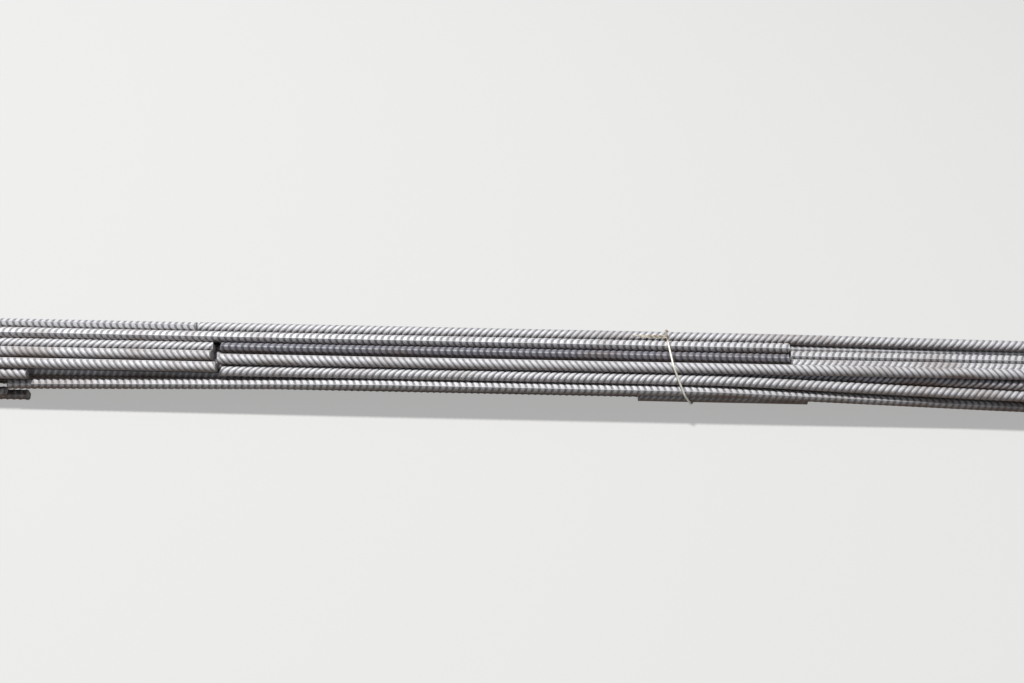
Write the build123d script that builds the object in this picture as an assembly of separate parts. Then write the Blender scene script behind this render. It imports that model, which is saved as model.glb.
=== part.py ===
from build123d import *
import os
from math import cos, hypot, radians, sin, sqrt

# Tied bundle of ribbed reinforcing bars, lying along X on its three tie wires.
# The origin is on the floor under the middle of the bundle, with +Z up.

# The bar: a 10 mm bar's section, weight-equal to its nominal size
bar_diameter = 10.0
seam_width = 1.6
rib_height = 0.45
stock_length = 3000.0

# How the bars lie: in layers, rib on rib, with a little play sideways
side_play = 0.3
ragged_end = 14.0
end_reach = 25.0

# Bars that are not straight bend this gently
bend_radius = 2500.0

# The sheared ends: a slanted face with a pinched edge
shear_slant = 4.0
pinch_slant = 38.0
pinch_depth = 1.3

# Degrees that each bar's seams, and the cuts at its ends, are turned past the last bar's
roll_step = 47
start_cut_step = 131
end_cut_step = 71

# How unevenly the ends stand: radians from one bar to the next, and from its start to its end
ragged_step = 2.4
ragged_shift = 0.7

# The tie wires, each drawn round the bars and twisted together on top
wire_diameter = 2.0
wire_play = 0.1
flat_corner = 0.06
tie_spacing = 1000.0
tie_places = [-0.988, -0.003, 1.011]
tie_lean = 27.0
twist_length = 16.0
twist_turns = 1.5
tail_length = 15.0
short_tail = 6.0
tail_share = 0.8
tail_root = 0.15
elbow_radius = 2.5
strand_spread = 1.05
pair_squeeze = 0.85

bar_radius = bar_diameter / 2
wire_radius = wire_diameter / 2
tail_radius = wire_radius * tail_share
touch = bar_diameter + 2 * rib_height
side_pitch = touch + side_play
layer_rise = sqrt(touch ** 2 - (side_pitch / 2) ** 2)
first_height = wire_diameter + wire_play + touch / 2
half_length = stock_length / 2

# How many bars lie side by side in each regular layer, from the floor up, and how far
# each layer lies to the back, in side pitches
layer_counts = [4, 5, 6, 7, 6]
layer_shifts = [1, 0, 0, 0, 0]

# The bar that reaches furthest at both ends
longest_bar = "bar_4_4"

# Where the loose bars lie: sideways in side pitches, upwards in layers
loose_sites = {
    "shoulder": (-1.955, 5.06),
    "hollow": (-0.357, 5.153),
    "crown": (0.384, 5.904),
    "back_crown": (1.5, 6.0),
    "back_top": (1.0, 5.0),
    "back_edge": (2.0, 5.0),
    "raised_front": (-2.366, 4.54),
    "raised_shoulder": (-1.473, 5.165),
    "low_hollow": (-0.946, 5.03),
    "low_crown": (0.036, 5.2),
    "fallen": (-2.5, 0.0),
    "leaning": (-3.0, 1.0),
    "slipped": (-2.5, 1.76),
    "wedged": (-2.864, 3.535),
}

# Where bars end and start along the bundle, as shares of the spacing of the ties
inner_ends = {
    "bar_2_1_left": -0.663,
    "bar_3_1_left": -0.692,
    "bar_4_1_left": -0.680,
    "bar_5_1_left": -0.652,
    "bar_3_1_middle": 0.122,
    "bar_raised_front": -0.4655,
    "bar_raised_shoulder": -0.471,
    "bar_hollow_left": -0.472,
    "bar_back_crown_left": -0.493,
    "bar_hollow_short": 0.1015,
    "bar_crown": 0.1005,
}
inner_starts = {
    "bar_3_1_middle": -0.047,
    "bar_4_1": -0.673,
    "bar_5_1": -0.461,
    "bar_shoulder": -0.463,
    "bar_hollow_short": -0.465,
    "bar_back_crown": -0.490,
    "bar_low_hollow": 0.1035,
    "bar_low_crown": 0.1035,
}

# Bars that sag or slip sideways along their length: where, as a share of the spacing of
# the ties, then sideways in side pitches and upwards in layers
bends = {
    "bar_4_1": [(-0.673, -3.0, 2.2), (-0.32, -3.0, 3.2), (0.02, -3.0, 3.2), (0.35, -3.0, 1.8)],
    "bar_5_1": [
        (-0.461, -2.5, 4.12), (-0.2, -2.5, 4.21), (0.04, -2.5, 4.21),
        (0.22, -2.804, 3.65), (0.42, -3.16, 3.14), (0.62, -3.16, 3.14), (0.88, -3.0, 3.171),
    ],
    "bar_5_2": [
        (0.12, -1.5, 4.0), (0.26, -1.946, 4.176), (0.42, -2.536, 4.04), (0.62, -2.536, 4.04),
        (0.88, -2.366, 4.133),
    ],
    "bar_shoulder": [(-0.463, -1.893, 5.17), (-0.1, -1.875, 5.21), (0.2, -1.902, 5.342)],
    "bar_back_crown": [(0.1, 1.5, 6.0), (0.42, 1.0, 6.176), (0.8, 0.661, 6.133)],
}

# Degrees from level of the seams of the bars whose seams show
seam_rolls = {
    "bar_4_1": 140,
    "bar_5_1": 15,
    "bar_5_1_left": 55,
    "bar_5_2": 65,
    "bar_raised_front": 62,
    "bar_raised_shoulder": 65,
    "bar_shoulder": 60,
    "bar_hollow_left": 47,
    "bar_hollow_short": 120,
    "bar_crown": 137,
    "bar_low_hollow": 50,
    "bar_low_crown": 137,
    "bar_back_crown_left": 112,
    "bar_back_crown": 40,
}


def site(column, layer):
    """Middle of a bar, across the bundle and above the floor."""
    return column * side_pitch, first_height + layer * layer_rise


def row_site(layer, number):
    """Middle of one bar of a regular layer, counted from the front."""
    return site(number - (layer_counts[layer] - 1) / 2 + layer_shifts[layer], layer)


def bar_section(roll):
    """A round core with the two long seams that the rolls leave."""
    core = Circle(bar_radius)
    seams = Rectangle(bar_diameter + 2 * rib_height, seam_width)
    corners = Circle(bar_radius + rib_height)
    return Rot(Z=roll) * (core + (seams & corners))


def sheared(solid, x, y, z, outward, turn):
    """Cut one end of a bar: a slanted face, and a pinched edge on one side."""
    for slant, depth in ((shear_slant, 0), (pinch_slant, pinch_depth)):
        lean = radians(slant)
        side = radians(turn)
        normal = Vector(outward * cos(lean), sin(lean) * cos(side), sin(lean) * sin(side))
        reach = bar_radius * sin(lean) - depth * cos(lean)
        point = Vector(x, y, z) + normal * reach
        solid = split(solid, Plane(origin=point, z_dir=normal), keep=Keep.BOTTOM)
    return solid


def route(name, start, end, place):
    """The points that a bar runs through, from its start to its end."""
    stations = [(share * tie_spacing, *site(*spot)) for share, *spot in bends.get(name, [])]
    inside = [spot for spot in stations if start + end_reach < spot[0] < end - end_reach]
    first = stations[0][1:] if stations else place
    last = stations[-1][1:] if stations else place
    return [(start, *first)] + inside + [(end, *last)]


def place_at(points, x):
    """Where a bar crosses the plane at x, across the bundle and above the floor."""
    for (x1, y1, z1), (x2, y2, z2) in zip(points, points[1:]):
        if x1 <= x <= x2:
            share = (x - x1) / (x2 - x1)
            return y1 + (y2 - y1) * share, z1 + (z2 - z1) * share


def bar(name, points, number):
    """One bar, turned and cut in its own way. An end that reaches furthest is sawn square."""
    start, start_y, start_z = points[0]
    end, end_y, end_z = points[-1]
    roll = seam_rolls.get(name, roll_step * number % 180)
    back = 0 if start == -half_length else bar_radius
    ahead = 0 if end == half_length else bar_radius
    run = [(start - back, start_y, start_z)] + points[1:-1] + [(end + ahead, end_y, end_z)]
    path = FilletPolyline(*run, radius=bend_radius) if len(run) > 2 else Line(*run)
    solid = sweep(Plane(origin=path @ 0, x_dir=(0, 1, 0), z_dir=path % 0) * bar_section(roll), path=path)
    if back:
        solid = sheared(solid, start, start_y, start_z, -1, start_cut_step * number)
    if ahead:
        solid = sheared(solid, end, end_y, end_z, 1, end_cut_step * number)
    return solid


def ragged(number):
    """How far a bar's end stands back from the longest one."""
    return end_reach + ragged_end * (1 + sin(ragged_step * number))


def bar_spans():
    """Name, start, end and place of every bar."""
    places = {}
    for layer, count in enumerate(layer_counts):
        for number in range(count):
            places[f"bar_{layer + 1}_{number + 1}"] = row_site(layer, number)
    lower_front = places.pop("bar_3_1")
    del places["bar_2_1"]

    places["bar_2_1_left"] = site(*loose_sites["fallen"])
    places["bar_3_1_left"] = lower_front
    places["bar_3_1_middle"] = site(*loose_sites["slipped"])
    places["bar_4_1_left"] = site(*loose_sites["leaning"])
    places["bar_5_1_left"] = site(*loose_sites["wedged"])
    for name in ("raised_front", "raised_shoulder", "shoulder", "crown", "low_hollow", "low_crown",
                 "back_top", "back_edge", "back_crown"):
        places["bar_" + name] = site(*loose_sites[name])
    places["bar_back_crown_left"] = site(*loose_sites["back_crown"])
    places["bar_hollow_left"] = site(*loose_sites["hollow"])
    places["bar_hollow_short"] = site(*loose_sites["hollow"])

    spans = []
    for name, place in places.items():
        start = inner_starts[name] * tie_spacing if name in inner_starts else -half_length
        end = inner_ends[name] * tie_spacing if name in inner_ends else half_length
        spans.append((name, start, end, place))
    return spans


def ragged_routes(spans):
    """Every bar's route, with the outer ends drawn back by uneven amounts, all but the longest bar's."""
    routes = {}
    for number, (name, start, end, place) in enumerate(spans):
        if start == -half_length and name != longest_bar:
            start += ragged(number)
        if end == half_length and name != longest_bar:
            end -= ragged(number + ragged_shift)
        routes[name] = route(name, start, end, place)
    return routes


def outer_corners(points):
    """Outermost of some points, in order: under the bundle, up its back, over it, down its front."""

    def one_side(run):
        kept = []
        for y, z in run:
            while len(kept) > 1:
                (first_y, first_z), (last_y, last_z) = kept[-2:]
                turn = (last_y - first_y) * (z - first_z) - (last_z - first_z) * (y - first_y)
                if turn > flat_corner * hypot(y - first_y, z - first_z):
                    break
                kept.pop()
            kept.append((y, z))
        return kept[:-1]

    return one_side(sorted(points)) + one_side(sorted(points, reverse=True))


def drawn_round(corners, radius):
    """Line drawn tight round circles at the corners, left open along the first run."""
    count = len(corners)
    outward = []
    for number in range(count):
        run = Vector(*corners[(number + 1) % count]) - Vector(*corners[number])
        outward.append(Vector(run.Y, -run.X).normalized())

    edges = []
    for number in range(1, count + 1):
        corner = Vector(*corners[number % count])
        before = outward[number - 1]
        after = outward[number % count]
        arrive = corner + before * radius
        halfway = corner + (before + after).normalized() * radius
        leave = corner + after * radius
        edges.append(Edge.make_three_point_arc(arrive, halfway, leave))
        if number < count:
            following = Vector(*corners[(number + 1) % count]) + after * radius
            edges.append(Edge.make_line(leave, following))
    return edges


def tie(middle, routes):
    """One wire drawn round the bars that it crosses, and twisted together on top."""
    lean = radians(tie_lean)
    wrap_radius = (touch / 2 + wire_play + wire_radius) / cos(lean)
    crossed = [place_at(points, middle) for points in routes if points[0][0] < middle < points[-1][0]]
    centre_height = (min(z for y, z in crossed) + max(z for y, z in crossed)) / 2
    leaning = Plane(
        origin=(middle, 0, centre_height),
        x_dir=(0, 1, 0),
        z_dir=(cos(lean), 0, sin(lean)),
    )
    corners = outer_corners([(y, (z - centre_height) / cos(lean)) for y, z in crossed])
    top = corners.index(max(corners, key=lambda corner: (round(corner[1], 3), corner[0])))
    corners = corners[top:] + corners[:top]
    loop = leaning * Wire(drawn_round(corners, wrap_radius))

    # Both ends of the loop turn along the bundle and lie side by side.
    front_end = loop @ 0
    back_end = loop @ 1
    knot = (front_end + back_end) / 2
    across = (back_end - front_end).normalized()
    sideways = Vector(0, across.Y, across.Z)
    strand_offset = wire_radius * strand_spread / sideways.length
    sideways = sideways.normalized()
    strand_length = elbow_radius + wire_diameter
    strands = []
    for side, loop_end in ((-1, front_end), (1, back_end)):
        bend = knot + across * side * strand_offset
        tip = bend + Vector(-strand_length, 0, 0)
        strands.append(FilletPolyline(tip, bend, loop_end, radius=elbow_radius))
    path = Wire(strands[0].edges() + loop.edges() + strands[1].edges())
    wire = sweep(Plane(origin=path @ 0, z_dir=path % 0) * Circle(wire_radius), path=path)

    # The twisted pair, and past it one end that runs on and one that is cut short
    twist_start = knot + Vector(wire_radius - strand_length, 0, 0)
    twist_end = twist_start + Vector(-twist_length, 0, 0)
    pair_offset = wire_radius * pair_squeeze
    pair = Pos(pair_offset, 0) * Circle(wire_radius) + Pos(-pair_offset, 0) * Circle(wire_radius)
    section = Plane(origin=twist_start, x_dir=sideways, z_dir=(-1, 0, 0)) * pair
    twist = Solid.extrude_linear_with_rotation(
        section.face(), twist_start, Vector(-twist_length, 0, 0), 360 * twist_turns
    )
    for side, length in ((1, tail_length), (-1, short_tail)):
        root = twist_end + sideways * side * pair_offset + Vector(tail_root, 0, 0)
        twist += Plane(origin=root, z_dir=(-1, 0, 0)) * extrude(Circle(tail_radius), tail_root + length)
    return wire + twist


routes = ragged_routes(bar_spans())
pieces = {}
for number, (name, points) in enumerate(routes.items()):
    pieces[name] = bar(name, points, number)
for number, place in enumerate(tie_places):
    pieces[f"tie_wire_{number + 1}"] = tie(place * tie_spacing, routes.values())

os.makedirs("parts", exist_ok=True)
for name, piece in pieces.items():
    export_step(piece, f"parts/{name}.step")
print(len(pieces), "pieces")
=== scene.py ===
from math import atan2, pi, radians

import bpy
import numpy as np
from mathutils import Matrix, Vector


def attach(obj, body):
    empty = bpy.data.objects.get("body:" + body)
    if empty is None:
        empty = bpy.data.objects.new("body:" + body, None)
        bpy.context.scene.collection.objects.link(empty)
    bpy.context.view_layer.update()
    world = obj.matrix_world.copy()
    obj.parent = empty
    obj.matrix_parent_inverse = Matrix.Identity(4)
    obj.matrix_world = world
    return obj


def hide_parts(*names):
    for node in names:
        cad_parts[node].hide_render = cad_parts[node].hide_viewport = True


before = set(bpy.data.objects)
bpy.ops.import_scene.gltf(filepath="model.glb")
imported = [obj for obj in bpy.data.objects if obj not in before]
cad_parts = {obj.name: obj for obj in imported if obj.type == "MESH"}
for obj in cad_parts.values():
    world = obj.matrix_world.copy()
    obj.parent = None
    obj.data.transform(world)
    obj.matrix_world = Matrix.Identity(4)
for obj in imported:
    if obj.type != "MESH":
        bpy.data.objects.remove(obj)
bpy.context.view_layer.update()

# The bar's relief, in metres: a core, with ribs and two long seams that stand on it
core_radius = 0.0048
seam_top = 0.00535
rib_top = 0.00545
rib_pitch = 0.0065

# A rib leans this far either way along the bar between the seams, and this power shapes its rise
rib_shift = 0.0042
rib_fade = 0.6

# The profile of one rib along the bar: shares of the pitch, and of the rib's height
round_rib = [(0.0, 0.0), (0.14, 0.85), (0.36, 1.0), (0.58, 0.85), (0.72, 0.0)]
peaked_rib = [(0.0, 0.0), (0.32, 1.0), (0.64, 0.0)]

# Each bar's ribs start further along than those of the bar before it, by this share of the pitch
phase_step = 0.37

# The stretch at each end of an inner bar that has ribs, in metres
ribbed_end = 0.07

# Half the width of a seam, in degrees round the bar, and the steps from one seam to the next
seam_half_width = 11.0
upper_steps = 5
plain_steps = 4

# The ring of points on each cut end, as a share of the ring round it
cap_share = 0.55

# Edges of the mesh that turn more than this, in degrees, are drawn as edges
upper_sharp = 34.0
plain_sharp = 62.0

# How far the scale is rubbed off the seams, and off the lowest parts of the ribs: 1 is bright
seam_polish = 0.35
least_polish = 0.5

# How much of the dark colour of painted shade shows on the bars painted as in shade, where nothing is
# rubbed
painted_shade_cover = 0.92

# The upward part of a surface's direction where the brown of the underside, rust with painted shade,
# starts, and is full
rust_shade_start_facing = 0.55
rust_shade_full_facing = -0.35

# Bars turned half round, so that the ribs on top of them lean the other way
turned_bars = {
    "bar_back_crown_left",
    "bar_crown",
    "bar_raised_shoulder",
    "bar_raised_front",
    "bar_shoulder",
    "bar_hollow_short",
    "bar_low_crown",
    "bar_5_1_left",
}

# Bars on top and in front, with a rib of more faces
upper_bars = {
    "bar_4_1", "bar_5_1", "bar_5_1_left", "bar_5_2",
    "bar_back_crown_left", "bar_back_crown", "bar_crown",
    "bar_hollow_left", "bar_hollow_short",
    "bar_raised_shoulder", "bar_raised_front", "bar_shoulder",
    "bar_low_hollow", "bar_low_crown",
}

# Bars painted dark all over as shade, with how far that painted shade is taken off their ribs, which then
# show bright as painted highlights
painted_shade_bars = {"bar_hollow_short": 0.3, "bar_5_2": 0.75}

# Bars that show little but their ends, between and under the others
inner_bars = {
    "bar_2_3", "bar_2_4",
    "bar_3_3", "bar_3_4", "bar_3_5",
    "bar_4_3", "bar_4_4", "bar_4_5", "bar_4_6",
    "bar_5_4", "bar_5_5",
}

# The colours of the bars, as red, green, blue and alpha
# The scale in the valleys between the ribs: its own dark colour, deepened as painted shade in the valleys
valley_scale_and_shade_dark = (0.18, 0.18, 0.20, 1)
valley_scale_and_shade_pale = (0.29, 0.29, 0.31, 1)
rubbed_dull = (0.56, 0.56, 0.585, 1)
rubbed_bright = (0.74, 0.74, 0.76, 1)
rubbed_grey = (0.60, 0.59, 0.60, 1)
# The dark colour of painted shade, on bars that lie in the shadow of others
painted_shade_colour = (0.09, 0.09, 0.12, 1)
rust_and_shade_brown = (0.14, 0.085, 0.055, 1)
# The colour of painted shade low in the bundle, near the floor
low_shade_brown = (0.085, 0.062, 0.048, 1)
cut_dark = (0.30, 0.28, 0.27, 1)
cut_bright = (0.62, 0.60, 0.58, 1)

# The colours of the tie wire
wire_dull = (0.74, 0.71, 0.60, 1)
wire_pale = (0.86, 0.84, 0.76, 1)
fold_dark = (0.10, 0.055, 0.03, 1)
fold_brown = (0.26, 0.17, 0.10, 1)

# Heights above the floor, in metres, where the painted shade low on the bars starts and where it is full
low_shade_start = 0.046
low_shade_full = 0.026

# The same for the brown of the ties' twisted ends
twist_start = 0.0695
twist_full = 0.0715

# The camera, as the photograph was taken, in millimetres for the lens and sensor, metres and degrees
lens = 35.0
sensor = 36.0
near_clip = 0.01
camera_place = (-0.175, -0.742, 0.720)
camera_pitch = 41.3
camera_roll = 1.2

# The point that the lamps are aimed at, and half the floor's width
lamp_target = (0, 0, 0.04)
floor_reach = 12.0

# The floor's colours: the one that lights the bundle, the one that takes its shadow, and the glow
floor_unseen = (0.24, 0.24, 0.24, 1)
floor_pale = (0.70, 0.70, 0.695, 1)
floor_glow = (0.80, 0.80, 0.795, 1)

# The surround's colours: the one that lights the bundle, and the one that shows
surround_unseen = (0.82, 0.88, 1.0, 1)
surround_shown = (0.84, 0.85, 0.87, 1)


def ring_angles(side_steps):
    """Angles round a bar from its first seam, with how far each stands on the seam."""
    rows = []
    width = radians(seam_half_width)
    for seam in (0.0, pi):
        rows.append((seam, 1.0))
        rows.append((seam + width, 0.0))
        step = (pi - 2 * width) / side_steps
        for number in range(1, side_steps):
            rows.append((seam + width + number * step, 0.0))
        rows.append((seam + pi - width, 0.0))
    return np.array(rows)


def node_points(name):
    """Places of a CAD node's vertices, one in each row."""
    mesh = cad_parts[name].data
    flat = np.empty(len(mesh.vertices) * 3)
    mesh.vertices.foreach_get("co", flat)
    return flat.reshape(-1, 3)


def ring_middle(ring):
    """Middle of the circle that a ring of vertices lies on, or None where too little of it is there."""
    cad_radius = 0.005
    circle_slack = 0.00015
    fewest_points = 8
    least_span = 1.8
    fit_rounds = 2
    kept = ring[:, 1:]
    for _ in range(fit_rounds):
        if len(kept) < fewest_points:
            return None
        rows = np.column_stack([2 * kept, np.ones(len(kept))])
        middle = np.linalg.lstsq(rows, (kept ** 2).sum(axis=1), rcond=None)[0][:2]
        off_circle = np.hypot(*(kept - middle).T) - cad_radius
        whole = np.ptp(kept, axis=0).min() > least_span * cad_radius
        kept = kept[np.abs(off_circle) < circle_slack]
    return middle if whole else None


def bar_route(points):
    """Middle of the bar at its ends and at each bend: the node's vertices stand in rings there."""
    ring_gap = 0.004
    order = points[np.argsort(points[:, 0])]
    breaks = np.nonzero(np.diff(order[:, 0]) > ring_gap)[0] + 1
    stations = []
    for ring in np.split(order, breaks):
        middle = ring_middle(ring)
        if middle is not None:
            stations.append((ring[:, 0].mean(), *middle))
    return np.array(stations)


def seam_angle(points, route):
    """Direction of the bar's seam round its axis, from the vertices that stand furthest out."""
    end_zone = 0.02
    seam_slack = 0.00008
    ring = points[points[:, 0] > points[:, 0].max() - end_zone]
    away = ring[:, 1:] - route[-1, 1:]
    reach = np.hypot(away[:, 0], away[:, 1])
    furthest = away[reach > reach.max() - seam_slack]
    doubled = 2 * np.arctan2(furthest[:, 1], furthest[:, 0])
    return (atan2(np.sin(doubled).mean(), np.cos(doubled).mean()) / 2) % pi


def end_planes(name, outward):
    """The planes that cut one end of a bar: where each crosses the X axis, and its slopes in Y and Z."""
    least_facing = 0.6
    least_area = 0.0000003
    end_zone = 0.012
    same_plane = 0.99
    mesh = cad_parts[name].data
    tip = max(vertex.co.x * outward for vertex in mesh.vertices)
    normals = []
    planes = []
    for face in sorted(mesh.polygons, key=lambda face: -face.area):
        normal = face.normal.copy()
        at_end = face.center.x * outward > tip - end_zone and face.area > least_area
        known = any(normal.dot(other) > same_plane for other in normals)
        if at_end and normal.x * outward > least_facing and not known:
            normals.append(normal)
            distance = normal.dot(face.center)
            planes.append((distance / normal.x, normal.y / normal.x, normal.z / normal.x))
    return planes


def end_reach(planes, y, z, outward):
    """How far along X the bar goes at (y, z), as its end is cut."""
    reaches = [crossing - slope_y * y - slope_z * z for crossing, slope_y, slope_z in planes]
    return np.minimum.reduce(reaches) if outward > 0 else np.maximum.reduce(reaches)


def ring_places(name, number, start, end):
    """Places of the bar's rings of points along it, with the share of a rib's height at each."""
    spare_ribs = 1
    phase = (number * phase_step) % 1.0
    first = int(np.floor((start - rib_shift) / rib_pitch)) - spare_ribs
    last = int(np.ceil((end + rib_shift) / rib_pitch)) + spare_ribs
    ribs = (np.arange(first, last + 1) + phase) * rib_pitch
    if name in inner_bars:
        ribs = ribs[(ribs < start + ribbed_end) | (ribs > end - ribbed_end)]
    profile = np.array(round_rib if name in upper_bars else peaked_rib)
    places = (ribs[:, None] + profile[:, 0] * rib_pitch).ravel()
    heights = np.tile(profile[:, 1], len(ribs))
    return places, heights


def relief(heights, angles, on_seam):
    """How far each point stands from the bar's middle, and how far the scale is rubbed off there."""
    crescent = np.abs(np.sin(angles)) ** rib_fade
    base = core_radius + on_seam * (seam_top - core_radius)
    radius = np.maximum(base, core_radius + heights * ((rib_top - core_radius) * crescent))
    rubbed = np.maximum(seam_polish * on_seam, heights * (least_polish + (1 - least_polish) * crescent))
    return radius, rubbed


def rings_on_bar(before, after):
    """Which rings lie on the bar, with one more past each end to close it."""
    kept = ~(before.all(axis=1) | after.all(axis=1))
    inside = np.nonzero(kept)[0]
    kept[inside[0] - 1] = True
    kept[inside[-1] + 1] = True
    return kept


def end_cap(ring, planes, outward):
    """A smaller ring and a middle point on a cut end."""
    middle = np.array([[0.0, *ring[:, 1:].mean(axis=0)]])
    inner_ring = middle + (ring - middle) * cap_share
    for points in (inner_ring, middle):
        points[:, 0] = end_reach(planes, points[:, 1], points[:, 2], outward)
    return [inner_ring, middle]


def bar_points(name, number):
    """Points of the ribbed bar in place of one plain CAD bar: its rings lean along it, as the ribs do.
    With them come how rubbed each one is, and how high a rib is where it ends on a seam."""
    points = node_points(name)
    route = bar_route(points)
    seam = seam_angle(points, route) + (pi if name in turned_bars else 0)
    places, heights = ring_places(name, number, points[:, 0].min(), points[:, 0].max())
    angles, on_seam = ring_angles(upper_steps if name in upper_bars else plain_steps).T
    radius, rubbed = relief(heights[:, None], angles, on_seam)
    rib_tips = heights[:, None] * on_seam
    turned = angles + seam
    x = places[:, None] + rib_shift * np.cos(angles)
    y = np.interp(x, route[:, 0], route[:, 1]) + radius * np.cos(turned)
    z = np.interp(x, route[:, 0], route[:, 2]) + radius * np.sin(turned)
    low_planes = end_planes(name, -1)
    high_planes = end_planes(name, 1)
    low = end_reach(low_planes, y, z, -1)
    high = end_reach(high_planes, y, z, 1)
    kept = rings_on_bar(x <= low, x >= high)
    shell = np.stack([np.clip(x, low, high), y, z], axis=-1)[kept]
    caps = end_cap(shell[0], low_planes, -1) + end_cap(shell[-1], high_planes, 1)
    return shell, caps, rubbed[kept], rib_tips[kept], turned


def bar_faces(rings, around):
    """Corners of the bar's faces: its sides, then each end as a ring of squares round a fan."""
    row = np.arange(rings - 1)[:, None] * around
    here = np.arange(around)
    beside = (here + 1) % around
    sides = np.stack([row + here, row + beside, row + around + beside, row + around + here], axis=-1)
    faces = [tuple(corners) for corners in sides.reshape(-1, 4).tolist()]
    total = rings * around
    for end, (ring, flip) in enumerate(((0, True), ((rings - 1) * around, False))):
        inner = total + end * (around + 1)
        centre = inner + around
        for spot in range(around):
            following = (spot + 1) % around
            square = (ring + spot, ring + following, inner + following, inner + spot)
            wedge = (inner + spot, inner + following, centre)
            for face in (square, wedge):
                faces.append(face[::-1] if flip else face)
    return faces


def surface_numbers(name, number, count, rubbed, rib_tips, turned):
    """What the steel's material reads at each vertex. The bar's sides come first, then its cut ends."""
    sides = rubbed.size
    polish = np.zeros(count)
    polish[:sides] = rubbed.ravel()
    painted_shade_share = np.zeros(count)
    # Painted shade over these bars, with the rib ends on their seams painted bright as a dashed highlight
    if name in painted_shade_bars:
        painted_shade_share[:] = painted_shade_cover * (1 - painted_shade_bars[name] * polish)
        painted_shade_share[:sides] *= 1 - rib_tips.ravel()
        polish[:sides] = np.maximum(polish[:sides], rib_tips.ravel())
    # The undersides turn brown: rust, with painted shade
    under = np.zeros(count)
    facing_down = np.clip((rust_shade_start_facing - np.sin(turned)) / (rust_shade_start_facing - rust_shade_full_facing), 0, 1)
    under[:sides] = np.tile(facing_down, len(rubbed))
    cut = np.zeros(count)
    cut[sides:] = 1.0
    own_tone = np.full(count, np.random.default_rng(number).random())
    return {"polish": polish, "under": under, "cut": cut, "own_tone": own_tone, "painted_shade_share": painted_shade_share}


def build_bar(name, number, material):
    """One bar as a piece of its own, which stands for its CAD node."""
    shell, caps, rubbed, rib_tips, turned = bar_points(name, number)
    vertices = np.concatenate([shell.reshape(-1, 3)] + caps)
    mesh = bpy.data.meshes.new(name + "_ribbed")
    mesh.from_pydata(vertices.tolist(), [], bar_faces(*shell.shape[:2]))
    mesh.validate()
    mesh.update()
    numbers = surface_numbers(name, number, len(vertices), rubbed, rib_tips, turned)
    for attribute_name, values in numbers.items():
        attribute = mesh.attributes.new(attribute_name, "FLOAT", "POINT")
        attribute.data.foreach_set("value", values.astype(np.float32))
    mesh.shade_smooth()
    mesh.set_sharp_from_angle(angle=radians(upper_sharp if name in upper_bars else plain_sharp))
    mesh.materials.append(material)

    piece = bpy.data.objects.new(name + "_ribbed", mesh)
    bpy.context.scene.collection.objects.link(piece)
    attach(piece, "root")
    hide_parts(name)


class Nodes:
    """A short way to write the nodes of a material or of the world."""

    def __init__(self, owner, output_kind):
        self.owner = owner
        self.owner.use_nodes = True
        self.tree = self.owner.node_tree
        self.tree.nodes.clear()
        self.output = self.tree.nodes.new(output_kind)

    def feed(self, socket, value):
        """Link an input to another node's output, or set it to a plain value."""
        if isinstance(value, bpy.types.NodeSocket):
            self.tree.links.new(value, socket)
        else:
            socket.default_value = value

    def put(self, kind, **settings):
        """A new node with some of its settings changed."""
        node = self.tree.nodes.new(kind)
        for setting, value in settings.items():
            setattr(node, setting, value)
        return node

    def fill(self, node, **inputs):
        """Set or link a node's inputs by name."""
        for name, value in inputs.items():
            self.feed(node.inputs[name.replace("_", " ")], value)

    def attribute(self, name):
        """A number that the mesh carries."""
        return self.put("ShaderNodeAttribute", attribute_name=name).outputs["Fac"]

    def noise(self, vector, scale, detail=4.0, roughness=0.5):
        """Noise along the object's own coordinates."""
        node = self.put("ShaderNodeTexNoise")
        self.fill(node, Vector=vector, Scale=scale, Detail=detail, Roughness=roughness)
        return node.outputs["Fac"]

    def math(self, operation, first, second):
        """Arithmetic on two numbers, kept between 0 and 1."""
        node = self.put("ShaderNodeMath", operation=operation, use_clamp=True)
        self.feed(node.inputs[0], first)
        self.feed(node.inputs[1], second)
        return node.outputs[0]

    def times(self, first, second):
        """The product of two numbers."""
        return self.math("MULTIPLY", first, second)

    def spread(self, value, low, high):
        """Stretch the numbers between low and high over 0 to 1."""
        node = self.put("ShaderNodeMapRange")
        self.fill(node, Value=value, From_Min=low, From_Max=high)
        return node.outputs["Result"]

    def mix(self, share, first, second):
        """Blend two colours. Each kind of data has inputs of the same names, so they are found by place."""
        node = self.put("ShaderNodeMix", data_type="RGBA")
        for place, value in ((0, share), (6, first), (7, second)):
            self.feed(node.inputs[place], value)
        return node.outputs[2]

    def blend(self, share, first, second):
        """Blend two shaders."""
        node = self.put("ShaderNodeMixShader")
        for place, value in enumerate((share, first, second)):
            self.feed(node.inputs[place], value)
        return node.outputs[0]


def stretched(nodes, along):
    """The object's own coordinates, scaled along the bars: under 1 draws a pattern out."""
    place = nodes.put("ShaderNodeTexCoord").outputs["Object"]
    mapping = nodes.put("ShaderNodeMapping")
    nodes.fill(mapping, Vector=place, Scale=(along, 1.0, 1.0))
    return mapping.outputs["Vector"]


def height_share(nodes, place, start, full):
    """0 at one height above the floor and 1 at the other."""
    height = nodes.put("ShaderNodeSeparateXYZ")
    nodes.fill(height, Vector=place)
    return nodes.spread(height.outputs["Z"], start, full)


def close_metal(nodes, colour, metallic, roughness, grain, grain_strength, grain_depth):
    """The shader that ends a metal's material, with its grain raised on it."""
    bump = nodes.put("ShaderNodeBump")
    nodes.fill(bump, Height=grain, Strength=grain_strength, Distance=grain_depth)
    shader = nodes.put("ShaderNodeBsdfPrincipled")
    normal = bump.outputs["Normal"]
    nodes.fill(shader, Base_Color=colour, Metallic=metallic, Roughness=roughness, Normal=normal)
    nodes.fill(nodes.output, Surface=shader.outputs["BSDF"])


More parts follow.
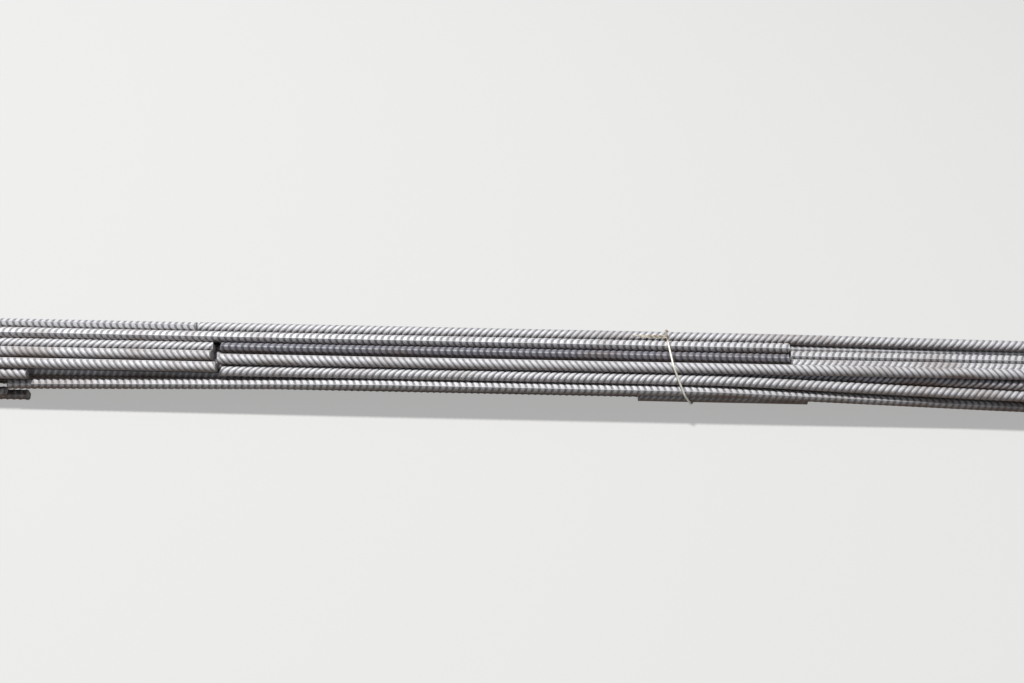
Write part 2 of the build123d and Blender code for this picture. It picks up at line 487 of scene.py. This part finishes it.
def steel_colour(nodes, patches, grain):
    """Blue-grey scale in the valleys, darkened there as painted shade, rubbed bright on the ribs, and
    painted dark all over as shade on the bars that lie in shadow.
    """
    own_share = 0.5
    scale = nodes.mix(patches, valley_scale_and_shade_dark, valley_scale_and_shade_pale)
    rubbed = nodes.mix(patches, rubbed_dull, rubbed_bright)
    rubbed = nodes.mix(nodes.times(nodes.attribute("own_tone"), own_share), rubbed, rubbed_grey)
    # Ribs rubbed bright against darker valleys: wear, with painted shade in the valleys
    on_ribs = nodes.spread(nodes.attribute("polish"), low=0.05, high=0.6)
    grain_share = nodes.spread(grain, low=-0.1, high=0.5)
    steel = nodes.mix(nodes.times(on_ribs, grain_share), scale, rubbed)
    # Painted shade: a dark colour over the bars that lie in shadow
    return nodes.mix(nodes.attribute("painted_shade_share"), steel, painted_shade_colour)


def rust_and_shade_share(nodes, patches, drift, low_down):
    """Rust with painted shade on the undersides, more of it near the floor, and rust in faint patches all
    over.
    """
    underside_rust_and_shade = 0.62
    floor_rust_and_shade = 0.3
    patch_rust = 0.4
    under_share = nodes.math("ADD", underside_rust_and_shade, nodes.times(low_down, floor_rust_and_shade))
    underside = nodes.times(nodes.attribute("under"), under_share)
    rust_patch = nodes.spread(nodes.times(patches, drift), low=0.24, high=0.42)
    return nodes.math("ADD", underside, nodes.times(rust_patch, patch_rust))


def bar_material():
    """Hot-rolled steel: blue-grey scale, rubbed bright on the ribs, browner underneath with rust and
    painted shade, and darker low down with painted shade.
    """
    drawn_out = 0.25
    low_shade_cover = 0.4
    clean_metallic = 0.35
    rust_loss = 0.3
    nodes = Nodes(bpy.data.materials.new("bar_steel_scale"), "ShaderNodeOutputMaterial")
    along_bars = stretched(nodes, drawn_out)
    place = stretched(nodes, 1.0)
    patches = nodes.noise(along_bars, scale=90.0)
    grain = nodes.noise(place, scale=900.0, detail=6.0, roughness=0.65)
    drift = nodes.noise(along_bars, scale=14.0, detail=2.0)
    low_down = height_share(nodes, place, low_shade_start, low_shade_full)
    rust = rust_and_shade_share(nodes, patches, drift, low_down)

    # Rust with painted shade on the undersides, and rust in faint patches
    colour = nodes.mix(rust, steel_colour(nodes, patches, grain), rust_and_shade_brown)
    # Painted shade: the bars darken towards the floor
    colour = nodes.mix(nodes.times(low_down, low_shade_cover), colour, low_shade_brown)
    cut_colour = nodes.mix(grain, cut_dark, cut_bright)
    colour = nodes.mix(nodes.attribute("cut"), colour, cut_colour)
    metallic = nodes.math("SUBTRACT", clean_metallic, nodes.times(rust, rust_loss))
    roughness = nodes.spread(patches, low=-1.9, high=1.7)
    close_metal(nodes, colour, metallic, roughness, grain=grain, grain_strength=0.35, grain_depth=0.0002)
    return nodes.owner


def wire_material():
    """Annealed tie wire: pale where it is rubbed and brown in its folds."""
    nodes = Nodes(bpy.data.materials.new("tie_wire_annealed"), "ShaderNodeOutputMaterial")
    place = stretched(nodes, 1.0)
    patches = nodes.noise(place, scale=120.0)
    grain = nodes.noise(place, scale=1400.0, detail=5.0)
    twisted = height_share(nodes, place, twist_start, twist_full)
    pale = nodes.mix(patches, wire_dull, wire_pale)
    brown = nodes.mix(grain, fold_dark, fold_brown)
    dark_share = nodes.math("MAXIMUM", nodes.spread(patches, low=0.56, high=0.72), twisted)
    colour = nodes.mix(dark_share, pale, brown)
    close_metal(
        nodes, colour, metallic=0.35, roughness=0.5, grain=grain, grain_strength=0.25, grain_depth=0.0001
    )
    return nodes.owner


def seen_share(nodes):
    """1 where the surround is looked at or mirrored, and 0 where it only lights things."""
    path = nodes.put("ShaderNodeLightPath")
    seen = nodes.math("MAXIMUM", path.outputs["Is Camera Ray"], path.outputs["Is Glossy Ray"])
    return nodes.math("MAXIMUM", seen, path.outputs["Is Transmission Ray"])


def floor_material():
    """A plain pale floor that throws little light back at the bundle."""
    glow_share = 0.5
    nodes = Nodes(bpy.data.materials.new("pale_floor"), "ShaderNodeOutputMaterial")
    unseen = nodes.put("ShaderNodeBsdfDiffuse")
    nodes.fill(unseen, Color=floor_unseen)
    pale = nodes.put("ShaderNodeBsdfDiffuse")
    nodes.fill(pale, Color=floor_pale)
    glow = nodes.put("ShaderNodeEmission")
    nodes.fill(glow, Color=floor_glow, Strength=1.0)
    shown = nodes.blend(glow_share, pale.outputs[0], glow.outputs[0])
    nodes.fill(nodes.output, Surface=nodes.blend(seen_share(nodes), unseen.outputs[0], shown))
    return nodes.owner


def build_world():
    """A pale surround that throws only a little bluish light at the bundle."""
    nodes = Nodes(bpy.data.worlds.new("studio"), "ShaderNodeOutputWorld")
    unseen = nodes.put("ShaderNodeBackground")
    nodes.fill(unseen, Color=surround_unseen, Strength=0.10)
    shown = nodes.put("ShaderNodeBackground")
    nodes.fill(shown, Color=surround_shown, Strength=1.0)
    surround = nodes.blend(seen_share(nodes), unseen.outputs[0], shown.outputs[0])
    nodes.fill(nodes.output, Surface=surround)
    bpy.context.scene.world = nodes.owner


def build_floor():
    """A large plain sheet under the bundle."""
    mesh = bpy.data.meshes.new("floor")
    corners = [(x * floor_reach, y * floor_reach, 0) for x, y in ((-1, -1), (1, -1), (1, 1), (-1, 1))]
    mesh.from_pydata(corners, [], [(0, 1, 2, 3)])
    mesh.materials.append(floor_material())
    floor = bpy.data.objects.new("floor", mesh)
    bpy.context.scene.collection.objects.link(floor)


def build_lamp(name, place, size, energy, colour):
    """A soft lamp that points at the bundle."""
    light = bpy.data.lights.new(name, "AREA")
    light.shape = "RECTANGLE"
    light.size, light.size_y = size
    light.energy = energy
    light.color = colour
    holder = bpy.data.objects.new(name, light)
    bpy.context.scene.collection.objects.link(holder)
    holder.location = place
    direction = Vector(lamp_target) - Vector(place)
    holder.rotation_euler = direction.to_track_quat("-Z", "Y").to_euler()


def build_camera():
    """The camera where the photograph was taken from."""
    data = bpy.data.cameras.new("camera")
    data.lens = lens
    data.sensor_width = sensor
    data.clip_start = near_clip
    camera = bpy.data.objects.new("camera", data)
    pitch = Matrix.Rotation(radians(90 - camera_pitch), 4, "X")
    roll = Matrix.Rotation(radians(camera_roll), 4, "Z")
    camera.matrix_world = Matrix.Translation(camera_place) @ pitch @ roll
    bpy.context.scene.collection.objects.link(camera)
    bpy.context.scene.camera = camera


def build_bars():
    """Every bar, all of one steel."""
    steel = bar_material()
    names = sorted(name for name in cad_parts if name.startswith("bar_"))
    for number, name in enumerate(names):
        build_bar(name, number, steel)


def dress_ties():
    """The ties keep their CAD shape, and get a material of their own."""
    wire = wire_material()
    for name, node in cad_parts.items():
        if name.startswith("tie_"):
            node.data.materials.clear()
            node.data.materials.append(wire)
            node.data.shade_smooth()


build_bars()
dress_ties()
build_floor()
build_world()
build_lamp("key", place=(-1.9, 0.5, 5.7), size=(0.6, 0.6), energy=425.0, colour=(1.0, 0.99, 0.97))
build_lamp("fill", place=(-0.8, -2.2, 2.0), size=(2.0, 1.4), energy=1.5, colour=(1.0, 0.97, 0.94))
build_camera()

bpy.context.scene.view_settings.view_transform = "Standard"
